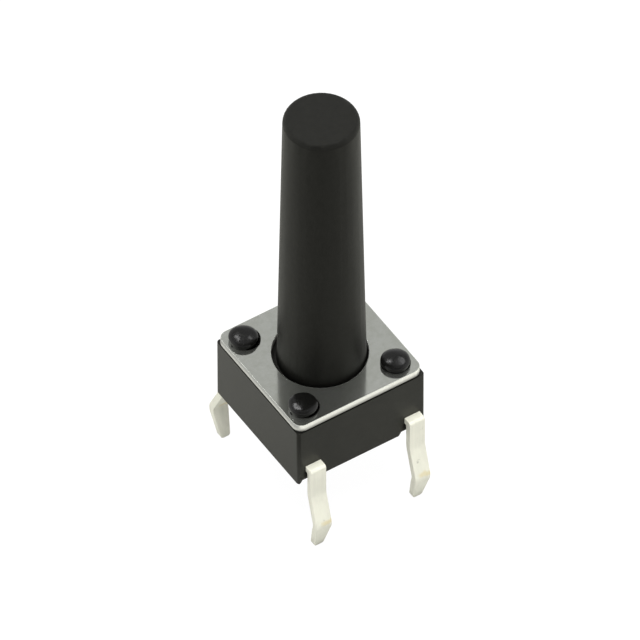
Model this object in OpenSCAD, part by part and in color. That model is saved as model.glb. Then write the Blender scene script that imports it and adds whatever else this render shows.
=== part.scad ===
// Through-hole tactile push button switch, 6 mm square, with a tall tapered button.
// Millimetres. The origin is the middle of the housing's underside, where it sits on the board.
// X runs along the 4.7 mm leg pitch, Y across the two leg rows and Z up along the button.

/* [Housing] */
// Width of the square housing
housing_w = 6.0; // [5.8:0.1:6.6]
// Height from the board to the seat of the cover plate
housing_h = 3.0; // [2.9:0.05:3.6]
// Radius of the housing's upright corners
housing_corner_r = 0.14; // [0.06:0.01:0.4]
// How far the rim round the plate's seat is lowered
rim_drop = 0.04; // [0.04:0.02:0.16]
// Width of that lowered rim
rim_w = 0.12; // [0.1:0.01:0.22]
// Thinnest wall round the flange's chamber
side_wall = 0.7; // [0.65:0.01:0.72]
// Width of the ledge under the flange that stops it
stop_ledge = 0.15; // [0.1:0.01:0.2]
// Height of the floor that the contacts lie in
floor_z = 0.9; // [0.8:0.05:1.05]

/* [Underside] */
// Height of the relief in the bottom edge at each leg
notch_h = 0.18; // [0.1:0.02:0.3]
// Width of that relief at the bottom
notch_w = 1.16; // [0.9:0.02:1.3]
// How far the sides of the relief lean in
notch_lean = 0.12; // [0.05:0.01:0.2]
// Depth of the relief from the side face
notch_depth = 0.4; // [0.2:0.05:0.6]
// Diameter of the holes that the moulding tool's pins leave under the terminals
pin_mark_d = 0.6; // [0.4:0.05:0.7]
// Distance between the two pin marks of one terminal
pin_mark_pitch = 1.8; // [1.2:0.1:2.4]

/* [Staked pegs] */
// Distance from a peg's axis to the housing's sides
peg_inset = 0.85; // [0.8:0.01:0.9]
// Diameter of a peg in its hole
peg_d = 0.9; // [0.7:0.05:0.95]
// Diameter of a melted head where it is widest
head_d = 1.26; // [1.16:0.02:1.32]
// Diameter of a head where it meets the plate
head_foot_d = 1.12; // [1.04:0.02:1.16]
// Height of a head's widest place
head_waist_h = 0.2; // [0.1:0.01:0.25]
// Height of the rounded top above that
head_dome_h = 0.26; // [0.2:0.01:0.4]

/* [Cover plate] */
// Thickness of the steel sheet
plate_t = 0.34; // [0.2:0.02:0.4]
// How far the plate's edge lies inside the housing's side
plate_inset = 0.03; // [0.03:0.01:0.12]
// How far the sheet lies to the left within the gaps round its pegs
plate_rest_x = 0.02; // [0:0.01:0.02]
// Radius of the plate's corners
plate_corner_r = 0.4; // [0.2:0.02:0.6]
// Gap between the button and the edge of its hole
plate_hole_gap = 0.15; // [0.1:0.01:0.22]
// Gap between a peg and the edge of its hole
peg_hole_gap = 0.04; // [0.03:0.01:0.06]

/* [Button] */
// Height of the button's top above the board
button_top_z = 17.0; // [9.5:0.5:22]
// How much the button's radius shrinks from the cover plate to the top
button_draft = 0.25; // [0.1:0.01:0.5]
// Radius of the edge round the button's top
button_edge_r = 0.2; // [0.05:0.05:0.4]
// How far the flange stands out of the button, under the cover plate
flange_lip = 0.41; // [0.3:0.01:0.5]
// Thickness of the flange
flange_h = 1.0; // [0.8:0.05:1.1]
// Gap round the flange
flange_gap = 0.1; // [0.05:0.01:0.12]
// How far the loose button lies to one side within that gap
button_rest_x = 0.06; // [0:0.01:0.06]
// Gap between the flange and the plate at rest
flange_play = 0.02; // [0.01:0.01:0.05]
// Width of the two ears that stop the button turning
ear_w = 0.8; // [0.6:0.05:1.0]
// How far an ear stands out of the flange
ear_reach = 0.25; // [0.15:0.01:0.3]
// Diameter of the pusher under the flange
pusher_d = 1.2; // [0.9:0.05:1.5]
// Gap between the pusher and the dome at rest
pusher_gap = 0.01; // [0.005:0.005:0.03]
// How far the button travels
travel = 0.25; // [0.15:0.01:0.3]
// Gap that the full travel leaves over the flange's stop
stop_gap = 0.05; // [0.02:0.01:0.1]

/* [Snap dome] */
// How much each of the dome's four sides is cut back, which leaves four feet
dome_side_cut = 0.25; // [0.15:0.01:0.35]
// Thickness of the spring steel
dome_t = 0.08; // [0.05:0.01:0.1]
// Gap between the dome's feet and the wall of its well
dome_well_gap = 0.15; // [0.08:0.01:0.2]
// Gap that the full travel leaves over the centre contact
contact_gap = 0.02; // [0.01:0.01:0.05]

/* [Terminals] */
// Thickness of the terminal strip
strip_t = 0.3; // [0.2:0.01:0.32]
// Width of a leg
leg_w = 0.72; // [0.6:0.02:0.8]
// Distance from the middle of a leg to the housing's side
leg_inset = 0.66; // [0.6:0.01:0.75]
// How far all four legs lie to one side of that, as in the photographed switch
leg_offset_x = 0.05; // [0:0.01:0.06]
// Gap between a leg and the face that it runs down
leg_gap = 0.1; // [0.02:0.01:0.2]
// Depth of the leg tips below the board's top face
leg_drop = 3.6; // [3.2:0.05:4.4]
// Depth at which a leg starts to lean out
lean_drop = 0.65; // [0.4:0.05:1.2]
// Depth of the knee that snaps into the board
knee_drop = 2.15; // [1.9:0.05:2.6]
// How far the knee stands out of the row
knee_out = 0.42; // [0.2:0.02:0.6]
// How far the tip stands out of the row
tip_out = 0; // [0:0.02:0.2]
// How much further the rear knees and tips are bent out, as photographed; 0 makes the rows alike
rear_splay = 0.3; // [0:0.02:0.34]
// Width of the tip
tip_w = 0.42; // [0.3:0.02:0.6]
// Height over which the leg narrows to its tip
tip_taper_h = 1.2; // [0.2:0.05:1.4]
// Radius of the tip's corners
tip_corner_r = 0.12; // [0.04:0.01:0.14]
// Inner radius of the bend at the housing
bend_r = 0.06; // [0.04:0.01:0.12]
// Outer radius of that bend, where the press has squared it
fold_r = 0.14; // [0.08:0.01:0.2]
// Radius of the leg's gentle lean, at its middle line
lean_r = 1.2; // [0.4:0.1:1.6]
// Radius of the knee, at its middle line
knee_r = 0.5; // [0.16:0.02:0.6]
// Width of the strip inside the housing
web_w = 0.5; // [0.4:0.02:0.52]

/* [Contacts] */
// Gap between the outer contact's open ring and the wall of the well
ring_gap = 0.1; // [0.04:0.01:0.14]
// Width of that ring
ring_w = 0.6; // [0.4:0.02:0.75]
// Half the angle that the ring leaves open for the centre contact
ring_open_a = 34; // [30:1:36]
// Width of the tab that joins the ring to its strip
tab_w = 1.2; // [0.8:0.1:1.6]
// Width of the tongue to the centre contact
tongue_w = 0.8; // [0.6:0.05:1.0]
// Diameter of the centre contact's pad
pad_d = 1.3; // [1.1:0.05:1.5]
// Diameter of the raised contact on the pad
boss_d = 0.9; // [0.6:0.05:1.0]
// Height of the raised contact
boss_h = 0.08; // [0.04:0.01:0.12]

/* [Hidden] */

// Number of steps in a round line
arc_steps = 8;
// Overlap that lets a cutter clear a face
cut = 0.1;

half_w = housing_w / 2;
peg_x = half_w - peg_inset;
peg_hole_d = peg_d + 2 * peg_hole_gap;
plate_top_z = housing_h + plate_t;
chamber_d = housing_w - 2 * side_wall;
flange_d = chamber_d - 2 * flange_gap;
button_foot_d = flange_d - 2 * flange_lip;
button_tip_d = button_foot_d - 2 * button_draft;
plate_hole_d = button_foot_d + 2 * plate_hole_gap;

flange_top_z = housing_h - flange_play;
flange_bottom_z = flange_top_z - flange_h;
stop_z = flange_bottom_z - travel - stop_gap;
ear_end = flange_d / 2 + ear_reach;

well_d = chamber_d - 2 * stop_ledge;
dome_d = well_d - 2 * dome_well_gap;
dome_flat_w = dome_d - 2 * dome_side_cut;
dome_rise = travel + boss_h + contact_gap;
dome_r = (pow(dome_d / 2, 2) + pow(dome_rise, 2)) / (2 * dome_rise);
dome_centre_z = floor_z + dome_rise - dome_r;
dome_top_z = floor_z + dome_rise + dome_t;

ring_out_d = well_d - 2 * ring_gap;
ring_in_d = ring_out_d - 2 * ring_w;
strip_z = floor_z - strip_t / 2;
leg_x = half_w - leg_inset;
row_y = half_w + leg_gap + strip_t / 2;
leg_outer_x = leg_x + leg_w / 2;
web_x = leg_outer_x - web_w / 2;
// Inside the housing the strip keeps the leg's width over this length
root_l = 0.6;

// Points of an arc about a centre, from one angle to another
function arc(centre, r, from, to) =
    [for (i = [0 : arc_steps])
        let (a = from + (to - from) * i / arc_steps)
        centre + r * [cos(a), sin(a)]];

function turned(v, a) = [v.x * cos(a) - v.y * sin(a), v.x * sin(a) + v.y * cos(a)];

// Points that round the corner b of the line a, b, c
function rounded(a, b, c, r) =
    let (u = (a - b) / norm(a - b),
         v = (c - b) / norm(c - b),
         half = acos(u * v) / 2,
         middle = b + (u + v) / norm(u + v) * r / sin(half),
         start = b + u * r / tan(half) - middle,
         end = b + v * r / tan(half) - middle,
         turn = (180 - 2 * half) * sign(cross(start, end)))
    [for (i = [0 : arc_steps]) middle + turned(start, turn * i / arc_steps)];

// Direction across a line at its point i, long enough to keep the strip's thickness in a bend
function across(line, i) =
    let (last = len(line) - 1,
         a = line[max(i, 1)] - line[max(i, 1) - 1],
         b = line[min(i, last - 1) + 1] - line[min(i, last - 1)],
         m = [-a.y, a.x] / norm(a),
         n = [-b.y, b.x] / norm(b))
    (m + n) / (1 + m * n);

// Outline of a strip of thickness t along a line
function strip_outline(line, t) =
    let (last = len(line) - 1)
    concat([for (i = [0 : last]) line[i] + across(line, i) * t / 2],
           [for (i = [last : -1 : 0]) line[i] - across(line, i) * t / 2]);

module rounded_square(w, r) {
    union() {
        square([w, w - 2 * r], center = true);
        square([w - 2 * r, w], center = true);
        for (x = [-1, 1], y = [-1, 1])
            translate([x, y] * (w / 2 - r))
                circle(r, $fn = 48);
    }
}

module at_pegs() {
    for (x = [-1, 1], y = [-1, 1])
        translate([x * peg_x, y * peg_x, 0])
            children();
}

// Peg and the head that heat has formed on it, turned about its own axis
module staked_peg() {
    head_r = head_d / 2;
    foot_r = head_foot_d / 2;
    waist_z = plate_top_z + head_waist_h;
    swell = [for (i = [0 : arc_steps])
        let (a = 90 * i / arc_steps)
        [foot_r + (head_r - foot_r) * sin(a), waist_z - head_waist_h * cos(a)]];
    dome = [for (i = [1 : arc_steps])
        let (a = 90 * i / arc_steps)
        [head_r * cos(a), waist_z + head_dome_h * sin(a)]];
    rotate_extrude($fn = 64)
        polygon(concat([[0, housing_h - cut], [peg_d / 2, housing_h - cut], [peg_d / 2, plate_top_z]],
                       swell, dome));
}

// Relief in the bottom edge, at the origin of a side face that looks along +Y
module leg_notch() {
    top_w = notch_w - 2 * notch_lean;
    translate([0, cut, 0])
        rotate([90, 0, 0])
            linear_extrude(notch_depth + cut)
                polygon([[-notch_w / 2 - notch_lean, -notch_h], [notch_w / 2 + notch_lean, -notch_h],
                         [top_w / 2, notch_h], [-top_w / 2, notch_h]]);
}

// The room for the flange, its ears, the snap dome and the contacts
module chamber() {
    translate([0, 0, stop_z])
        cylinder(h = housing_h - stop_z + cut, d = chamber_d, $fn = 96);
    translate([0, 0, floor_z])
        cylinder(h = stop_z - floor_z + cut, d = well_d, $fn = 96);
    slot_w = ear_w + 2 * flange_gap;
    slot_end = ear_end + flange_gap;
    translate([-slot_w / 2, -slot_end, stop_z])
        cube([slot_w, 2 * slot_end, housing_h - stop_z + cut]);
}

// One black moulding round both terminals, with the four pegs staked over the cover plate
module housing() {
    color([0.2, 0.2, 0.19])
    union() {
        difference() {
            union() {
                linear_extrude(housing_h - rim_drop)
                    rounded_square(housing_w, housing_corner_r);
                linear_extrude(housing_h)
                    rounded_square(housing_w - 2 * rim_w, housing_corner_r);
            }
            chamber();
            for (x = [-leg_x, leg_x]) {
                translate([x, half_w, 0])
                    leg_notch();
                translate([x, -half_w, 0])
                    mirror([0, 1, 0])
                        leg_notch();
            }
            for (x = [-web_x, web_x], y = [-1, 1])
                translate([x, y * pin_mark_pitch / 2, -cut])
                    cylinder(h = strip_z + cut, d = pin_mark_d, $fn = 32);
            outer_terminal_shape();
            centre_terminal_shape();
        }
        at_pegs()
            staked_peg();
    }
}

// Stamped steel sheet with the button's hole and four peg holes
module cover_plate() {
    color([0.64, 0.65, 0.62])
    translate([-plate_rest_x, 0, 0])
    difference() {
        translate([0, 0, housing_h])
            linear_extrude(plate_t)
                rounded_square(housing_w - 2 * plate_inset, plate_corner_r);
        translate([0, 0, housing_h - cut])
            cylinder(h = plate_t + 2 * cut, d = plate_hole_d, $fn = 96);
        at_pegs()
            translate([0, 0, housing_h - cut])
                cylinder(h = plate_t + 2 * cut, d = peg_hole_d, $fn = 48);
    }
}

// Tapered stem, flange with two ears, and the pusher with its rounded end
module button() {
    tip_r = button_tip_d / 2;
    foot_r = button_foot_d / 2;
    pusher_r = pusher_d / 2;
    pusher_end_z = dome_top_z + pusher_gap;
    // The pusher's end is a shallow round of this height
    end_h = 0.15;
    end_round = [for (i = [0 : arc_steps])
        let (a = 90 * i / arc_steps)
        [pusher_r * sin(a), pusher_end_z + end_h * (1 - cos(a))]];
    edge_round = arc([tip_r - button_edge_r, button_top_z - button_edge_r], button_edge_r, 0, 90);
    color([0.17, 0.17, 0.165])
    translate([button_rest_x, 0, 0]) {
        rotate_extrude($fn = 128)
            polygon(concat(end_round,
                           [[pusher_r, flange_bottom_z], [flange_d / 2, flange_bottom_z],
                            [flange_d / 2, flange_top_z], [foot_r, flange_top_z], [foot_r, plate_top_z]],
                           edge_round,
                           [[0, button_top_z]]));
        translate([-ear_w / 2, -ear_end, flange_bottom_z])
            cube([ear_w, 2 * ear_end, flange_h]);
    }
}

// Spring steel cap that stands on four feet and snaps through
module snap_dome() {
    rim_a = asin(dome_d / 2 / dome_r);
    lower = [for (i = [0 : arc_steps])
        let (a = rim_a * i / arc_steps)
        [dome_r * sin(a), dome_centre_z + dome_r * cos(a)]];
    upper = [for (i = [arc_steps : -1 : 0])
        let (a = rim_a * i / arc_steps)
        [(dome_r + dome_t) * sin(a), dome_centre_z + (dome_r + dome_t) * cos(a)]];
    color([0.75, 0.74, 0.7])
    intersection() {
        rotate_extrude($fn = 96)
            polygon(concat(lower, upper));
        translate([-dome_flat_w / 2, -dome_flat_w / 2, floor_z - cut])
            cube([dome_flat_w, dome_flat_w, dome_rise + dome_t + 2 * cut]);
    }
}

// Middle line of a leg in the Y and Z plane, from inside the housing to just below the tip
function leg_line(splay) =
    let (middle_r = bend_r + strip_t / 2,
         inside = [half_w - root_l, strip_z],
         shoulder = [row_y, strip_z],
         lean = [row_y, -lean_drop],
         knee = [row_y + knee_out + splay, -knee_drop],
         tip = [row_y + tip_out + splay, -leg_drop],
         below = tip + (tip - knee) / norm(tip - knee) * strip_t)
    concat([inside],
           rounded(inside, shoulder, lean, middle_r),
           rounded(shoulder, lean, knee, lean_r),
           rounded(lean, knee, tip, knee_r),
           [below]);

// Front view of a leg, down to the flat end of its tip
function leg_front() =
    let (shoulder = [leg_w / 2, floor_z],
         taper = [leg_w / 2, tip_taper_h - leg_drop],
         corner = [tip_w / 2, -leg_drop],
         side = concat([shoulder, taper], rounded(taper, corner, [0, -leg_drop], tip_corner_r)),
         last = len(side) - 1)
    concat(side, [for (i = [last : -1 : 0]) [-side[i].x, side[i].y]]);

// The squared outside of the bend at the housing, in side view
module fold_corner() {
    face_y = row_y + strip_t / 2;
    inner_z = strip_z - strip_t / 2 - bend_r;
    polygon(concat([[half_w, strip_z], [half_w, floor_z]],
                   rounded([half_w, floor_z], [face_y, floor_z], [face_y, inner_z], fold_r),
                   [[face_y, inner_z], [row_y, inner_z]]));
}

// A leg of the +Y row, centred on X = 0: its side view cut to its front view
module leg(splay) {
    intersection() {
        rotate([90, 0, 90])
            translate([0, 0, -leg_w / 2])
                linear_extrude(leg_w)
                    union() {
                        polygon(strip_outline(leg_line(splay), strip_t));
                        fold_corner();
                    }
        rotate([90, 0, 0])
            translate([0, 0, -row_y - half_w])
                linear_extrude(row_y + half_w)
                    polygon(leg_front());
    }
}

// Strip through the housing on the side of X that side gives, with its two legs
module strip_and_legs(side) {
    translate([side * leg_x + leg_offset_x, 0, 0]) {
        leg(rear_splay);
        mirror([0, 1, 0])
            leg(0);
    }
    translate([0, 0, floor_z - strip_t])
        linear_extrude(strip_t) {
            translate([side * web_x, 0])
                square([web_w, 2 * half_w - root_l], center = true);
            for (y = [-1, 1])
                translate([side * leg_x + leg_offset_x, y * (half_w - root_l / 2 - cut)])
                    square([leg_w, root_l], center = true);
        }
}

// Terminal whose open ring carries the dome's feet
module outer_terminal_shape() {
    reach = ring_out_d;
    union() {
        strip_and_legs(-1);
        translate([0, 0, floor_z - strip_t])
            linear_extrude(strip_t) {
                difference() {
                    circle(d = ring_out_d, $fn = 96);
                    circle(d = ring_in_d, $fn = 96);
                    polygon([[0, 0], reach * [cos(ring_open_a), -sin(ring_open_a)],
                             reach * [cos(ring_open_a), sin(ring_open_a)]]);
                }
                translate([-web_x, -tab_w / 2])
                    square([web_x - ring_in_d / 2 - (ring_out_d - ring_in_d) / 4, tab_w]);
            }
    }
}

// Terminal whose tongue carries the raised centre contact
module centre_terminal_shape() {
    union() {
        strip_and_legs(1);
        translate([0, 0, floor_z - strip_t])
            linear_extrude(strip_t) {
                translate([0, -tongue_w / 2])
                    square([web_x, tongue_w]);
                circle(d = pad_d, $fn = 64);
            }
        translate([0, 0, floor_z - strip_t / 2])
            cylinder(h = strip_t / 2 + boss_h, d = boss_d, $fn = 64);
    }
}

module outer_terminal() {
    color([0.83, 0.83, 0.77])
        outer_terminal_shape();
}

module centre_terminal() {
    color([0.83, 0.83, 0.77])
        centre_terminal_shape();
}

housing();
cover_plate();
button();
snap_dome();
outer_terminal();
centre_terminal();
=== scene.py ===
import math

import bpy
from mathutils import Matrix, Vector


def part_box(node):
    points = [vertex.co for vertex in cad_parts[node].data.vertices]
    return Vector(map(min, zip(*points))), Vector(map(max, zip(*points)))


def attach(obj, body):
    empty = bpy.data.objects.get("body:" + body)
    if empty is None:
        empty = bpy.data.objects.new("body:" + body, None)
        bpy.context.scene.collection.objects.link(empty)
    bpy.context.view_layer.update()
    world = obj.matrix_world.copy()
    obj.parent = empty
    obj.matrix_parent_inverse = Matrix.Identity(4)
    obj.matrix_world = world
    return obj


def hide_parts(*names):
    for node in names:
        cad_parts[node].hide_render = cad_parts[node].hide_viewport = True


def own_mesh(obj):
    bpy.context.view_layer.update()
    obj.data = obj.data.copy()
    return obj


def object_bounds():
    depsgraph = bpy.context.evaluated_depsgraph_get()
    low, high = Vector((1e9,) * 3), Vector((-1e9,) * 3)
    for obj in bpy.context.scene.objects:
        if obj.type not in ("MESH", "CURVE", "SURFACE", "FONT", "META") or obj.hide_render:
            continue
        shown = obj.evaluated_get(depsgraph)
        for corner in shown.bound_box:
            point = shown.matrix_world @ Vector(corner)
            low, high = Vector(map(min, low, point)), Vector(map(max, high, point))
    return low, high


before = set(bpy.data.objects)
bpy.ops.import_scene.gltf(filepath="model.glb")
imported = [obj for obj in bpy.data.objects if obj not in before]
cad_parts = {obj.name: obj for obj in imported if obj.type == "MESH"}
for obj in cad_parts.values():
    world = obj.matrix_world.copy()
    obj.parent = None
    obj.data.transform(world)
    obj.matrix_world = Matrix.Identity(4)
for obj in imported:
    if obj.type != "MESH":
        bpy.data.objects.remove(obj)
cad_low, cad_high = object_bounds()


# Two terminals, each stamped from thin brass strip and tin plated, with a leg at both ends.
# The housing is moulded round their middles; outside it each leg is folded down and given
# a knee that snaps under the circuit board.
MM = 0.001
SAME_POINT = 0.0002 * MM
FLAT_ANGLE = math.radians(0.5)
SHARP_ANGLE = math.radians(40)
SMOOTH_ANGLE = math.radians(30)


class Wire:
    """A shader socket that takes part in arithmetic."""

    def __init__(self, tree, socket=None):
        self.tree = tree
        self.socket = socket

    def node(self, kind, values=None, output=0, **settings):
        """Adds a node of this kind, and gives the wire that leaves it."""
        made = self.tree.nodes.new(kind)
        for name, setting in settings.items():
            setattr(made, name, setting)
        for key, value in (values or {}).items():
            if isinstance(value, Wire):
                self.tree.links.new(value.socket, made.inputs[key])
            else:
                made.inputs[key].default_value = value
        return Wire(self.tree, made.outputs[output] if made.outputs else None)

    def maths(self, operation, first, second=0.0):
        """Adds a Math node on two values, each a number or a wire."""
        return self.node("ShaderNodeMath", {0: first, 1: second}, operation=operation)

    def __add__(self, other):
        return self.maths("ADD", self, other)

    def __radd__(self, other):
        return self.maths("ADD", other, self)

    def __sub__(self, other):
        return self.maths("SUBTRACT", self, other)

    def __rsub__(self, other):
        return self.maths("SUBTRACT", other, self)

    def __mul__(self, other):
        return self.maths("MULTIPLY", self, other)

    def __rmul__(self, other):
        return self.maths("MULTIPLY", other, self)

    def __abs__(self):
        return self.maths("ABSOLUTE", self)


def blank_finish(name):
    """A new material with no nodes, and the wire that its nodes start from."""
    material = bpy.data.materials.new(name)
    material.use_nodes = True
    material.node_tree.nodes.clear()
    return material, Wire(material.node_tree)


def place_on(paint):
    """Object coordinates in millimetres."""
    metres = paint.node("ShaderNodeTexCoord", output="Object")
    return paint.node("ShaderNodeVectorMath", {0: metres, "Scale": 1 / MM}, operation="SCALE")


def part(vector, axis):
    """One part of a vector, by its axis: 0 for x, 1 for y and 2 for z."""
    return vector.node("ShaderNodeSeparateXYZ", {0: vector}, output=axis)


def stretched(spot, factors):
    """The place scaled by its own factor along each axis, for streaks and brush lines."""
    return spot.node("ShaderNodeVectorMath", {0: spot, 1: factors}, operation="MULTIPLY")


def cloud(spot, scale, detail=3.0, roughness=0.5, seed=0.0):
    """Noise between 0 and 1 about the middle value 0.5."""
    values = {"Vector": spot, "W": seed, "Scale": scale, "Detail": detail, "Roughness": roughness}
    return spot.node("ShaderNodeTexNoise", values, noise_dimensions="4D")


def between(value, start, end):
    """0 before start, 1 after end, and a smooth step from one to the other."""
    values = {"Value": value, "From Min": start, "From Max": end}
    return value.node("ShaderNodeMapRange", values, interpolation_type="SMOOTHSTEP")


def blended(share, first, second):
    """The first colour where share is 0 and the second where it is 1."""
    values = {0: share, 6: first, 7: second}
    return share.node("ShaderNodeMix", values, output=2, data_type="RGBA")


def uneven(height, strength, depth):
    """The normal of an uneven skin, whose height of 0 to 1 is a depth in millimetres."""
    values = {"Strength": strength, "Distance": depth * MM, "Height": height}
    return height.node("ShaderNodeBump", values)


def shaded(paint, **values):
    """Closes a material with one surface shader."""
    named = {name.replace("_", " "): value for name, value in values.items()}
    shader = paint.node("ShaderNodeBsdfPrincipled", named)
    paint.node("ShaderNodeOutputMaterial", {"Surface": shader})


def take_solid(node, name):
    """Copies a CAD solid as one closed mesh with whole faces, ready to be worked."""
    bpy.ops.object.select_all(action="DESELECT")
    piece = bpy.data.objects.new(name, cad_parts[node].data.copy())
    bpy.context.scene.collection.objects.link(piece)
    bpy.context.view_layer.objects.active = piece
    piece.select_set(True)
    bpy.ops.object.mode_set(mode="EDIT")
    bpy.ops.mesh.select_all(action="SELECT")
    bpy.ops.mesh.remove_doubles(threshold=SAME_POINT)
    bpy.ops.mesh.dissolve_limited(angle_limit=FLAT_ANGLE)
    bpy.ops.object.mode_set(mode="OBJECT")
    return piece


def soften_edges(piece, width, segments=2):
    """Rounds a piece's sharp edges, as stamping or moulding leaves them, and smooths it."""
    bpy.context.view_layer.objects.active = piece
    round_off = piece.modifiers.new("rounded_edges", "BEVEL")
    round_off.width = width
    round_off.segments = segments
    round_off.limit_method = "ANGLE"
    round_off.angle_limit = SHARP_ANGLE
    round_off.use_clamp_overlap = True
    bpy.ops.object.modifier_apply(modifier="rounded_edges")
    bpy.ops.object.shade_smooth_by_angle(angle=SMOOTH_ANGLE)
    flatten = piece.modifiers.new("flat_faces_stay_flat", "WEIGHTED_NORMAL")
    flatten.keep_sharp = True
    bpy.ops.object.modifier_apply(modifier="flat_faces_stay_flat")


def finish_piece(piece, material, body, slot, *nodes):
    """Gives a piece its one material and its body, and hides the CAD nodes that it stands for; the
    slot is not used.
    """
    piece.data.materials.clear()
    piece.data.materials.append(material)
    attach(piece, body)
    if nodes:
        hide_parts(*nodes)


TIN = (0.77, 0.765, 0.65, 1)
TIN_DULL = (0.71, 0.705, 0.60, 1)
# The tan colour is a painted reflection along each leg's knee bend.
KNEE_PAINTED_REFLECTION = (0.66, 0.56, 0.29, 1)
KNEE_REFLECTION_SHARE = 0.62
TIN_SPECK = (0.34, 0.33, 0.26, 1)
SPECK_SHARE = 0.55
LEG_X = 2.34
LEG_SHIFT = 0.05
KNEE_Z = -2.16
REFLECTION_ABOVE_KNEE = 0.16
REFLECTION_REACH = 0.17
STRIP_EDGE_R = 0.045 * MM

tin, paint = blank_finish("tin_plated_brass")
spot = place_on(paint)
x = part(spot, 0)
z = part(spot, 2)
lengthwise = cloud(stretched(spot, (7.0, 7.0, 0.5)), scale=1.0, detail=4.0, roughness=0.6)
patches = cloud(spot, scale=1.3, seed=2.0)
grain = cloud(spot, scale=26.0, detail=2.0, roughness=0.6, seed=4.0)
wander = cloud(stretched(spot, (3.2, 1.0, 1.0)), scale=1.0, detail=2.0, seed=7.0)
ragged = cloud(stretched(spot, (5.0, 5.0, 4.0)), scale=1.0, roughness=0.6, seed=9.0)
across_leg = x - LEG_SHIFT - x.maths("SIGN", x) * LEG_X
# Painted reflection: a tan band across each leg, just above its knee.
near_knee = REFLECTION_REACH - abs(z - KNEE_Z - REFLECTION_ABOVE_KNEE - (wander - 0.5) * 0.5)
reflection_across_leg = between(across_leg + (ragged - 0.5) * 0.8, -0.24, 0.06)
knee_reflection = between(near_knee, -0.02, 0.14) * reflection_across_leg
specks = between(cloud(spot, scale=4.6, detail=2.0, seed=11.0), 0.69, 0.76)
tin_colour = blended(between(lengthwise * 0.5 + patches * 0.5, 0.38, 0.66), TIN, TIN_DULL)
tin_colour = blended(knee_reflection * KNEE_REFLECTION_SHARE, tin_colour, KNEE_PAINTED_REFLECTION)
tin_colour = blended(specks * SPECK_SHARE, tin_colour, TIN_SPECK)
shaded(
    paint,
    Base_Color=tin_colour,
    Metallic=0.18,
    Roughness=lengthwise * 0.12 + grain * 0.08 + 0.30,
    Normal=uneven(lengthwise * 0.6 + patches * 1.2 + grain * 0.15, strength=0.3, depth=0.012),
)

for node in ("outer_terminal", "centre_terminal"):
    terminal = take_solid(node, f"{node}_strip")
    soften_edges(terminal, STRIP_EDGE_R)
    finish_piece(terminal, tin, "switch_body", "plated_brass", node)


# Housing, one black moulding of glass-filled nylon shot round both terminals. It holds the
# contacts and the snap dome in a round well; four pegs stand up from its corners, and
# low reliefs in its bottom edge let the legs out.
NYLON = (0.0045, 0.0045, 0.0040, 1)
NYLON_PALE = (0.0095, 0.0095, 0.0085, 1)
WARM_SHEEN = (1.0, 1.0, 0.9, 1)
HOUSING_EDGE_R = 0.05 * MM
PEG_CUT = 0.03 * MM


def cut_level(height, lost_side):
    """Cuts the active piece level and closes it. What is above goes (1), or what is below (-1)."""
    bpy.ops.object.mode_set(mode="EDIT")
    bpy.ops.mesh.select_all(action="SELECT")
    bpy.ops.mesh.bisect(
        plane_co=(0, 0, height), plane_no=(0, 0, lost_side), use_fill=True, clear_outer=True
    )
    bpy.ops.object.mode_set(mode="OBJECT")


nylon, paint = blank_finish("glass_filled_nylon")
spot = place_on(paint)
flow = cloud(stretched(spot, (1.0, 1.0, 0.5)), scale=0.7, detail=4.0, roughness=0.55)
grain = cloud(spot, scale=22.0, roughness=0.6, seed=3.0)
mottle = cloud(spot, scale=4.5, roughness=0.6, seed=5.0)
shaded(
    paint,
    Base_Color=blended(between(mottle * 0.6 + flow * 0.4, 0.35, 0.70), NYLON, NYLON_PALE),
    Roughness=mottle * 0.10 + grain * 0.08 + 0.24,
    Normal=uneven(grain * 0.6 + mottle * 0.4, strength=0.3, depth=0.012),
    Specular_IOR_Level=0.4,
    Specular_Tint=WARM_SHEEN,
)

plate_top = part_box("cover_plate")[1].z
case = take_solid("housing", "housing_case")
cut_level(plate_top - PEG_CUT, lost_side=1)
soften_edges(case, HOUSING_EDGE_R)
finish_piece(case, nylon, "switch_body", "housing_plastic", "housing")


# Snap dome, a cap of thin spring steel that stands on four feet in the outer contact's ring.
# Pressed flat, its middle touches the centre contact and clicks.
SPRING_STEEL = (0.66, 0.65, 0.60, 1)
SPRING_STEEL_DARK = (0.56, 0.55, 0.51, 1)
DOME_EDGE_R = 0.01 * MM

spring, paint = blank_finish("spring_steel")
rolled = cloud(stretched(place_on(paint), (1.2, 24.0, 1.2)), scale=1.0, detail=4.0, roughness=0.6)
shaded(
    paint,
    Base_Color=blended(rolled, SPRING_STEEL, SPRING_STEEL_DARK),
    Metallic=1.0,
    Roughness=rolled * 0.2 + 0.18,
    Normal=uneven(rolled, strength=0.3, depth=0.005),
)

dome = take_solid("snap_dome", "snap_dome_spring")
soften_edges(dome, DOME_EDGE_R, segments=1)
finish_piece(dome, spring, "switch_body", "spring_steel", "snap_dome")
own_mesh(dome)


# Button, one tapered stem of black plastic with a flange and two ears that the cover plate
# keeps in the housing. It drops in from above, over the snap dome.
STEM_BLACK = (0.0013, 0.0013, 0.0011, 1)
STEM_GREY = (0.0038, 0.0038, 0.0033, 1)
STEM_EDGE_R = 0.04 * MM

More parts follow.
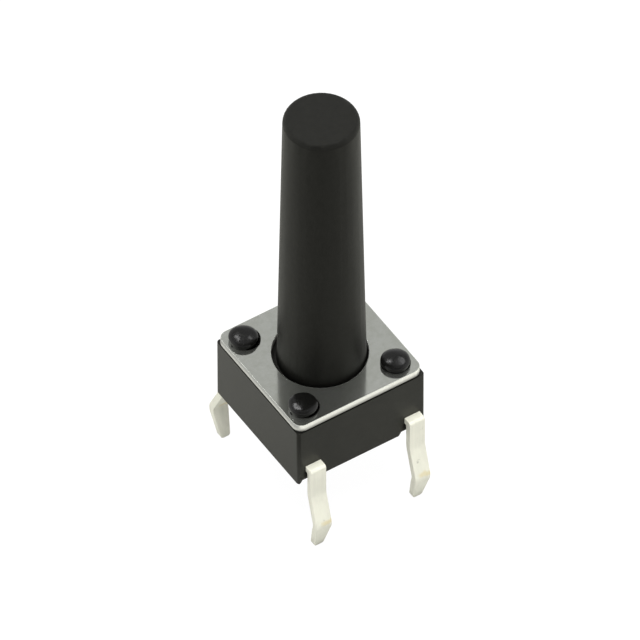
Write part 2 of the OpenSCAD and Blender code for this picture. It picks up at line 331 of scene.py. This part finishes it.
stem_plastic, paint = blank_finish("satin_black_stem")
spot = place_on(paint)
streaks = cloud(stretched(spot, (1.5, 1.5, 0.22)), scale=1.0, detail=4.0, roughness=0.55)
mottle = cloud(spot, scale=4.0, detail=4.0, roughness=0.6, seed=2.0)
grain = cloud(spot, scale=20.0, detail=2.0, roughness=0.6, seed=6.0)
shaded(
    paint,
    Base_Color=blended(between(mottle * 0.6 + streaks * 0.4, 0.36, 0.68), STEM_BLACK, STEM_GREY),
    Roughness=streaks * 0.16 + grain * 0.10 + 0.42,
    Normal=uneven(grain * 0.5 + mottle * 0.5, strength=0.45, depth=0.02),
    Specular_IOR_Level=0.43,
    Specular_Tint=WARM_SHEEN,
)

stem = take_solid("button", "button_stem")
soften_edges(stem, STEM_EDGE_R)
finish_piece(stem, stem_plastic, "button", "button_plastic", "button")


# Cover plate, stamped from stainless sheet: a round hole for the button and four peg holes.
# It drops over the pegs and closes the housing. Its cut edge carries a painted highlight, a
# painted shadow at the bottom, and dimmer painted light on the two sides that face along x.
STEEL = (0.70, 0.72, 0.655, 1)
STEEL_LIGHT = (0.77, 0.79, 0.735, 1)
# The cut edge's colours are painted light: a painted highlight, dimmer on the x sides, and a
# painted shadow at its bottom.
X_SIDE_TOP_PAINTED_SHADE = (0.40, 0.405, 0.38, 1)
EDGE_PAINTED_HIGHLIGHT = (0.97, 0.97, 0.88, 1)
X_SIDE_PAINTED_HIGHLIGHT = (0.62, 0.62, 0.57, 1)
EDGE_PAINTED_SHADOW = (0.12, 0.12, 0.11, 1)
X_SIDE_SHADOW_SHARE = 0.85
PLATE_EDGE_R = 0.025 * MM
FLAT_SLACK = 0.001 * MM
NEARLY_UPRIGHT = 0.9

steel, paint = blank_finish("stamped_stainless")
spot = place_on(paint)
facing = paint.node("ShaderNodeTexCoord", output="Normal")
below_top = plate_top / MM - part(spot, 2)
side_face = 1 - between(part(facing, 2), 0.45, 0.80)
rolled_edge = between(1 - part(facing, 2), 0.0003, 0.005)
faces_x = between(abs(part(facing, 0)), 0.45, 0.85)
rolled = cloud(stretched(spot, (1.2, 9.0, 1.0)), scale=1.0, detail=5.0, roughness=0.6)
haze = cloud(spot, scale=0.6, seed=3.0)
grain = cloud(spot, scale=18.0, roughness=0.6, seed=5.0)
mottle = cloud(spot, scale=3.4, detail=4.0, roughness=0.65, seed=8.0)
clouded = between(rolled * 0.2 + haze * 0.3 + mottle * 0.5, 0.40, 0.60)
# Painted shadow along the bottom of the cut edge, and painted highlight above it, dimmer where the
# sides face along x.
shadow_on_y_sides = between(below_top, 0.08, 0.40) * (1 - faces_x)
shadow_on_x_sides = between(below_top, 0.25, 0.34) * faces_x * X_SIDE_SHADOW_SHARE
x_side_painted_light = blended(between(below_top, 0.10, 0.24), X_SIDE_TOP_PAINTED_SHADE, X_SIDE_PAINTED_HIGHLIGHT)
edge_painted_light = blended(faces_x, EDGE_PAINTED_HIGHLIGHT, x_side_painted_light)
edge_painted_light = blended(shadow_on_y_sides + shadow_on_x_sides, edge_painted_light, EDGE_PAINTED_SHADOW)
shaded(
    paint,
    Base_Color=blended(side_face, blended(clouded, STEEL, STEEL_LIGHT), edge_painted_light),
    Metallic=0.97 - side_face * 0.58,
    Roughness=rolled * 0.04 + grain * 0.04 + 0.07 + rolled_edge * 0.40,
    Normal=uneven(rolled * 0.6 + grain * 0.4, strength=0.1, depth=0.002),
)

plate = take_solid("cover_plate", "cover_plate_sheet")
soften_edges(plate, PLATE_EDGE_R, segments=3)

# The top's normals are set upright, so that it mirrors as one flat sheet right to its edges.
leans = [corner.vector.copy() for corner in plate.data.corner_normals]
for index, loop in enumerate(plate.data.loops):
    corner_z = plate.data.vertices[loop.vertex_index].co.z
    if corner_z > plate_top - FLAT_SLACK and leans[index].z > NEARLY_UPRIGHT:
        leans[index] = Vector((0, 0, 1))
plate.data.normals_split_custom_set(leans)
finish_piece(plate, steel, "switch_body", "plate_steel", "cover_plate")


# Staked heads, the tops of the housing's four pegs, pressed into flat balls by a hot tool.
# The melted skin is smoother and glossier than the moulding, and no two are alike.
# Their sizes are in millimetres.
HEAD_BLACK = (0.0030, 0.0030, 0.0027, 1)
PEG_X = 2.15
PEG_CORNERS = [(-1, -1), (1, -1), (1, 1), (-1, 1)]
HEAD_DRIFTS = [(-0.06, 0.01), (-0.015, -0.02), (0.0, 0.01), (-0.10, 0.02)]
HEAD_R = 0.595
HEAD_LOW = 0.23
HEAD_HIGH = 0.15
HEAD_SUNK = 0.02
SKIRT_LEAN = 0.2
MELT_LUMP = 0.7
MELT_DEPTH = 0.06
HEAD_SMOOTH_ANGLE = math.radians(50)

melted, paint = blank_finish("melted_nylon_skin")
spot = place_on(paint)
ripple = cloud(spot, scale=2.6)
grain = cloud(spot, scale=16.0, roughness=0.6, seed=4.0)
shaded(
    paint,
    Base_Color=blended(between(grain, 0.45, 0.75), HEAD_BLACK, NYLON),
    Roughness=grain * 0.08 + 0.17,
    Normal=uneven(ripple * 0.9 + grain * 0.1, strength=0.3, depth=0.02),
    Specular_IOR_Level=0.42,
)

for index, (side_x, side_y) in enumerate(PEG_CORNERS):
    bpy.ops.object.select_all(action="DESELECT")
    drift = Vector((*HEAD_DRIFTS[index], 0)) * MM
    waist = Vector((side_x * PEG_X * MM, side_y * PEG_X * MM, plate_top + HEAD_LOW * MM)) + drift
    bpy.ops.mesh.primitive_uv_sphere_add(
        segments=40, ring_count=24, radius=HEAD_R * MM, location=waist
    )
    head = bpy.context.object
    head.name = f"staked_head_{index + 1}"
    bpy.ops.object.transform_apply(location=True, rotation=True, scale=True)
    for vertex in head.data.vertices:
        rise = vertex.co.z - waist.z
        if rise > 0:
            vertex.co.z = waist.z + rise * HEAD_HIGH / HEAD_R
        else:
            around = Vector((vertex.co.x - waist.x, vertex.co.y - waist.y)).normalized()
            around = around * HEAD_R * MM
            narrowing = 1 + rise / MM * SKIRT_LEAN
            vertex.co.x = waist.x + around.x * narrowing
            vertex.co.y = waist.y + around.y * narrowing
    lumps = bpy.data.textures.new(f"melt_{index + 1}", "CLOUDS")
    lumps.noise_scale = MELT_LUMP * MM
    melt = head.modifiers.new("melt", "DISPLACE")
    melt.texture = lumps
    melt.texture_coords = "LOCAL"
    melt.strength = MELT_DEPTH * MM
    bpy.ops.object.modifier_apply(modifier="melt")
    cut_level(plate_top - HEAD_SUNK * MM, lost_side=-1)
    bpy.ops.object.shade_smooth_by_angle(angle=HEAD_SMOOTH_ANGLE)
    finish_piece(head, melted, "switch_body", "housing_plastic")


# Floor and backdrop, plain white. The camera sees them as white, and the floor keeps
# the soft shadow under the legs. In reflections the floor is darker towards the camera.
WHITE = (1, 1, 1, 1)
VIEW_BACK = Vector((0.545, 0.838, 0))
FLOOR_TONE = 0.62
# In reflections only, the floor's tone is a painted shade that darkens it towards the camera.
MIRRORED_NEAR_TONE = 0.16
MIRRORED_FAR_TONE = 0.57
MIRRORED_WARMTH = 0.08
WHITE_SHARE = 0.88
WHITE_GLOW = 1.09


def along(vector, direction):
    """How far a vector reaches along a direction."""
    values = {0: vector, 1: direction}
    return vector.node("ShaderNodeVectorMath", values, output="Value", operation="DOT_PRODUCT")


bpy.ops.object.select_all(action="DESELECT")
bpy.ops.mesh.primitive_plane_add(size=2.0, location=(0, 0, cad_low.z))
floor = bpy.context.object
floor.name = "floor"
white, paint = blank_finish("floor_white")
seen = paint.node("ShaderNodeLightPath", output="Is Camera Ray")
mirrored = paint.node("ShaderNodeLightPath", output="Is Glossy Ray")
far_off = between(along(place_on(paint), VIEW_BACK), -26.0, 30.0)
mirrored_tone = far_off * (MIRRORED_FAR_TONE - MIRRORED_NEAR_TONE) + MIRRORED_NEAR_TONE
tone = mirrored * (mirrored_tone - FLOOR_TONE) + FLOOR_TONE
warm = {0: tone, 1: tone, 2: tone * (1 - mirrored * MIRRORED_WARMTH)}
colour = paint.node("ShaderNodeCombineColor", warm)
unlit = {"Base Color": colour, "Roughness": 1.0, "Specular IOR Level": 0.0}
matt = paint.node("ShaderNodeBsdfPrincipled", unlit)
glow = paint.node("ShaderNodeEmission", {"Color": WHITE, "Strength": WHITE_GLOW})
mixed = paint.node("ShaderNodeMixShader", {0: seen * WHITE_SHARE, 1: matt, 2: glow})
paint.node("ShaderNodeOutputMaterial", {"Surface": mixed})
floor.data.materials.append(white)


# Studio light: a white surround, a broad lamp on the left, one overhead and two small ones
# for the glints on the staked heads. In reflections the ceiling is darker in its middle,
# most of all over the camera, and all behind the camera is a little darker too.
VIEW_RIGHT = Vector((0.838, -0.545, 0))
SURROUND_LEVEL = 0.74
CEILING_LEVEL = 0.44
CAMERA_SIDE_LEVEL = 0.2
BEHIND_CAMERA_LEVEL = 0.6

world = bpy.data.worlds.new("studio")
bpy.context.scene.world = world
world.use_nodes = True
world.node_tree.nodes.clear()
paint = Wire(world.node_tree)
glossy_ray = paint.node("ShaderNodeLightPath", output="Is Glossy Ray")
diffuse_ray = paint.node("ShaderNodeLightPath", output="Is Diffuse Ray")
direction = paint.node("ShaderNodeTexCoord", output="Generated")
height = part(direction, 2)
away = along(direction, VIEW_BACK)
upward = between(height, 0.15, 0.60)
middle = 1 - between(abs(along(direction, VIEW_RIGHT)), 0.35, 0.80)
ceiling = between(away, -0.15, 0.15) * (CEILING_LEVEL - CAMERA_SIDE_LEVEL) + CAMERA_SIDE_LEVEL
behind = (1 - between(away, -0.5, -0.1)) * between(height, -0.2, 0.1)
dimming = upward * middle * (1 - ceiling)
dimming = paint.maths("MAXIMUM", dimming, behind * (1 - BEHIND_CAMERA_LEVEL))
level = 1 - glossy_ray * dimming - diffuse_ray * (1 - SURROUND_LEVEL)
backdrop = paint.node("ShaderNodeBackground", {"Color": WHITE, "Strength": level})
paint.node("ShaderNodeOutputWorld", {"Surface": backdrop})


def area_lamp(name, direction, distance, size, power, mirrored=True):
    """A square soft lamp that looks at the switch from a direction."""
    data = bpy.data.lights.new(name, "AREA")
    data.size = size
    data.energy = power
    lamp = bpy.data.objects.new(name, data)
    bpy.context.scene.collection.objects.link(lamp)
    ray = Vector(direction).normalized()
    lamp.matrix_world = Matrix.LocRotScale(ray * distance, ray.to_track_quat("Z", "Y"), None)
    lamp.visible_glossy = mirrored


area_lamp("left_softbox", (-0.9, -0.25, 0.45), distance=0.8, size=0.6, power=0.5, mirrored=False)
area_lamp("glint", (0.07, 0.50, 0.865), distance=0.8, size=0.09, power=0.38)
area_lamp("second_glint", (0.451, 0.26, 0.85), distance=0.8, size=0.12, power=0.2)
area_lamp("overhead", (-0.06, -0.10, 1.0), distance=0.9, size=0.5, power=10.0, mirrored=False)
bpy.context.scene.view_settings.view_transform = "Standard"


# Camera, fitted to the edges of the housing and the button in the photograph.
# The scale is in pixels for a metre at the aim, which lies on the aim's pixel.
CAMERA_AZIMUTH = math.radians(-32.9766)
CAMERA_ELEVATION = math.radians(48.2937)
CAMERA_ROLL = math.radians(-0.0982)
CAMERA_DISTANCE = 1100 * MM
CLIP_START = 0.1
CLIP_END = 10
PHOTO_SCALE = 25.2103 / MM
PHOTO_SIZE = 640
AIM = Vector((0, 0, 3.5 * MM))
AIM_PIXEL = Vector((320.407, 348.388))
SENSOR = 36

back = Vector((
    math.sin(CAMERA_AZIMUTH) * math.cos(CAMERA_ELEVATION),
    -math.cos(CAMERA_AZIMUTH) * math.cos(CAMERA_ELEVATION),
    math.sin(CAMERA_ELEVATION),
))
turn = (-back).to_track_quat("-Z", "Y").to_matrix() @ Matrix.Rotation(CAMERA_ROLL, 3, "Z")
shift = (AIM_PIXEL - Vector((PHOTO_SIZE / 2, PHOTO_SIZE / 2))) / PHOTO_SCALE
place = AIM + back * CAMERA_DISTANCE - turn.col[0] * shift.x + turn.col[1] * shift.y
camera = bpy.data.objects.new("camera", bpy.data.cameras.new("camera"))
bpy.context.scene.collection.objects.link(camera)
camera.data.sensor_width = SENSOR
camera.data.lens = SENSOR * PHOTO_SCALE * CAMERA_DISTANCE / PHOTO_SIZE
camera.data.clip_start = CLIP_START
camera.data.clip_end = CLIP_END
camera.matrix_world = Matrix.LocRotScale(place, turn.to_quaternion(), None)
bpy.context.scene.camera = camera
